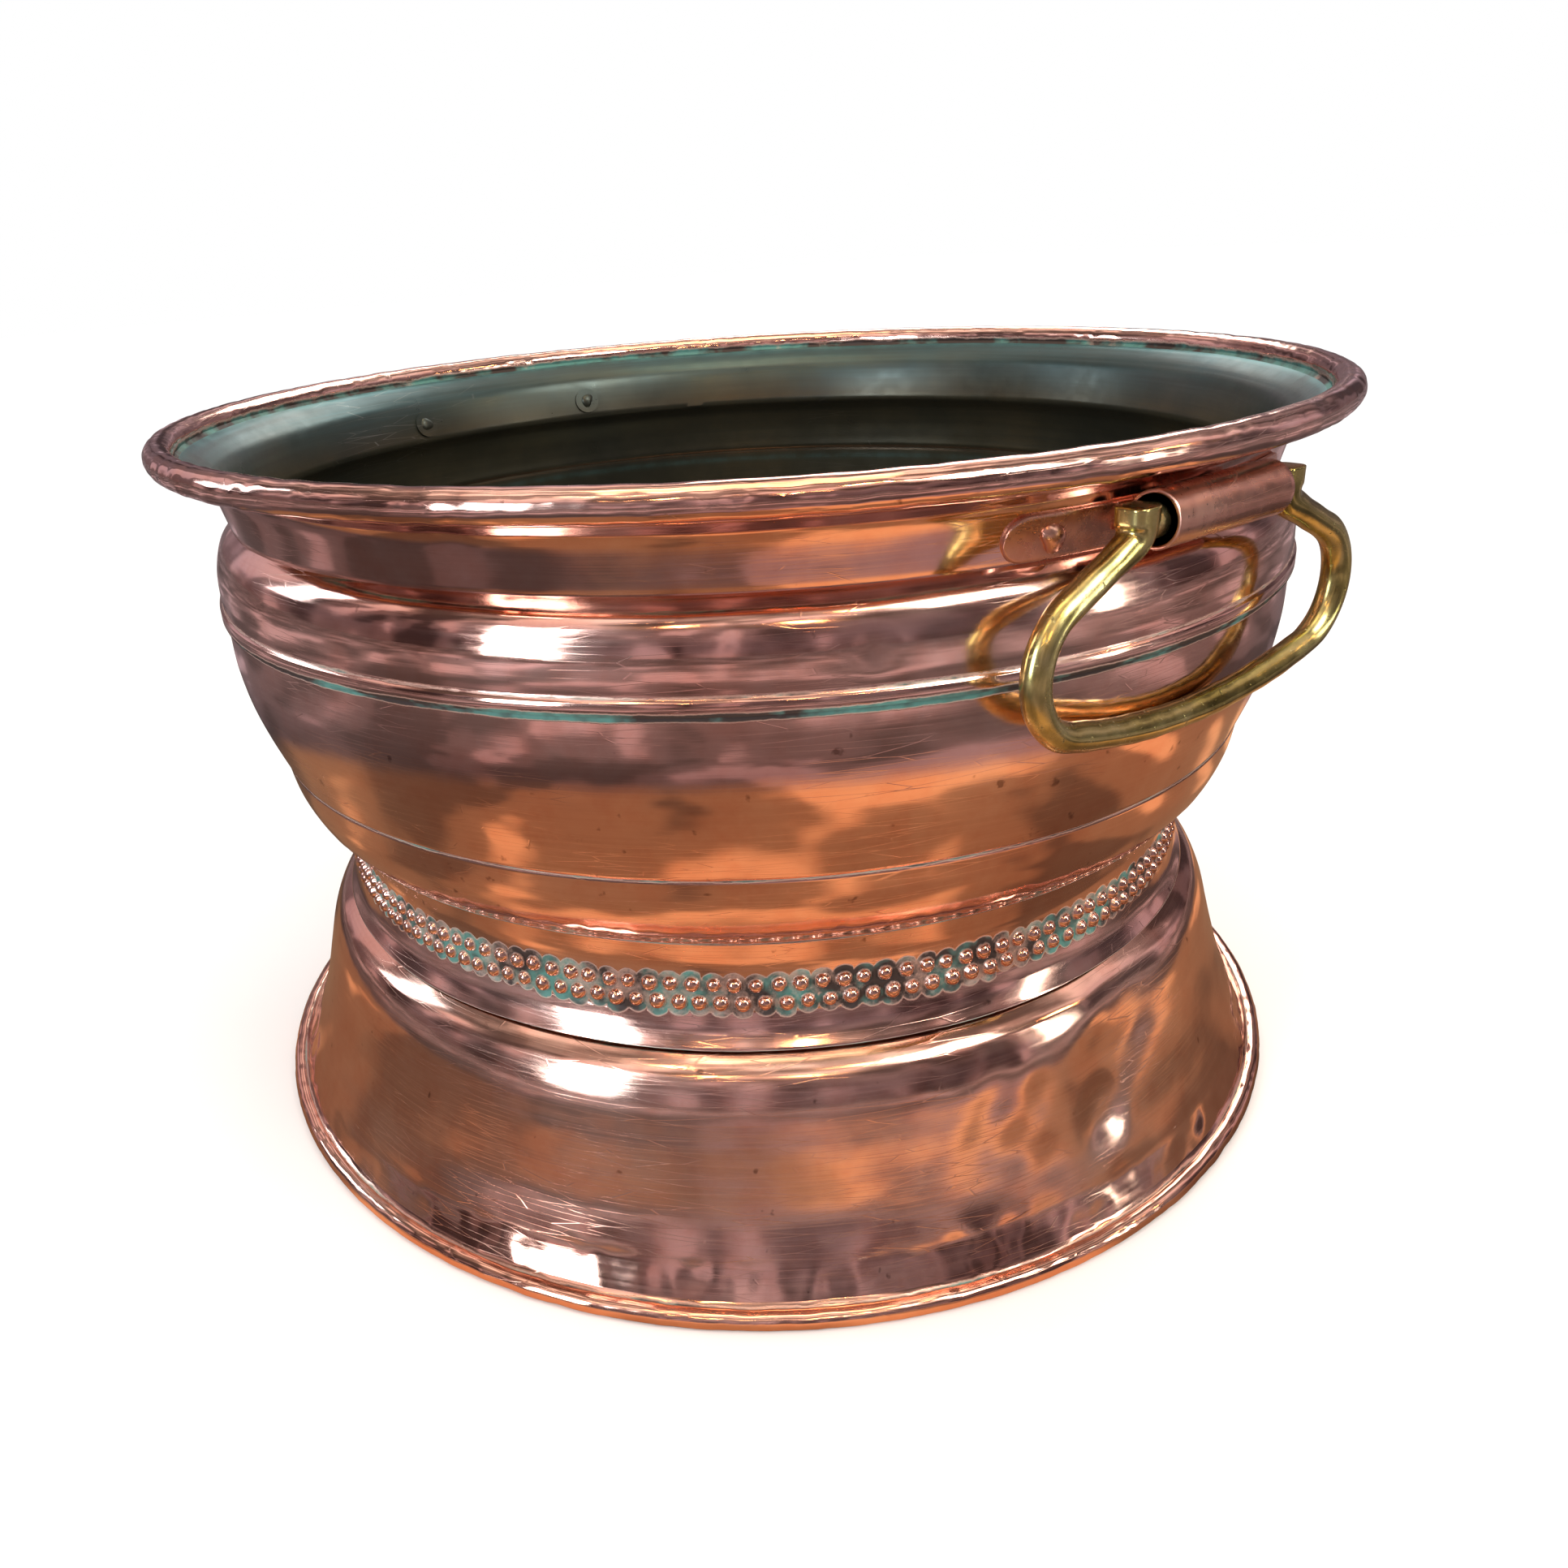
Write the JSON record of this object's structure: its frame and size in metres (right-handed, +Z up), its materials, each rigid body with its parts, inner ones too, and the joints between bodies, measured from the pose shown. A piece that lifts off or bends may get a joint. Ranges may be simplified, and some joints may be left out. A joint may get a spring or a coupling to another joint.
{
  "type": "champagne bucket stand",
  "caption": "Wide round copper champagne bucket on its own flared bell foot, with a rolled rim, a beaded waist and two brass drop handles on riveted hinge plates.",
  "frame": {"origin": "on the table, at the middle of the foot", "axes": "+Z up; +X towards the right handle, so the two handles lie along X; the object looks the same from +Y and -Y"},
  "size_m": [0.43, 0.43, 0.265],
  "materials": {
    "copper": "hand-planished copper sheet, worn polish with brown and green tarnish in the seams, tinned inside",
    "brass": "sand-cast brass bar, filed and worn smooth, slightly pitted",
    "iron_wire": "plain drawn iron wire",
    "tin_solder": "dull soft solder"
  },
  "bodies": {
    "bucket": {"upper_bowl": "copper", "rim_wire": "iron_wire", "lower_bowl": "copper", "foot_solder": "tin_solder", "foot_collar": "copper", "foot_skirt": "copper", "base_wire": "iron_wire", "hinge_right": "copper", "hinge_left": "copper", "rivet_right_front": "copper", "rivet_right_back": "copper", "rivet_left_front": "copper", "rivet_left_back": "copper", "rove_right_front": "copper", "rove_right_back": "copper", "rove_left_front": "copper", "rove_left_back": "copper"},
    "handle_right": {"handle_right": "brass"},
    "handle_left": {"handle_left": "brass"}
  },
  "joints": [
    {"name": "right_handle_hinge", "type": "hinge", "parent": "bucket", "child": "handle_right", "pos_m": [0.20408, 0, 0.2425], "axis": [0, -1, 0], "range_deg": [0, 147]},
    {"name": "left_handle_hinge", "type": "hinge", "parent": "bucket", "child": "handle_left", "pos_m": [-0.20408, 0, 0.2425], "axis": [0, 1, 0], "range_deg": [0, 147]}
  ]
}
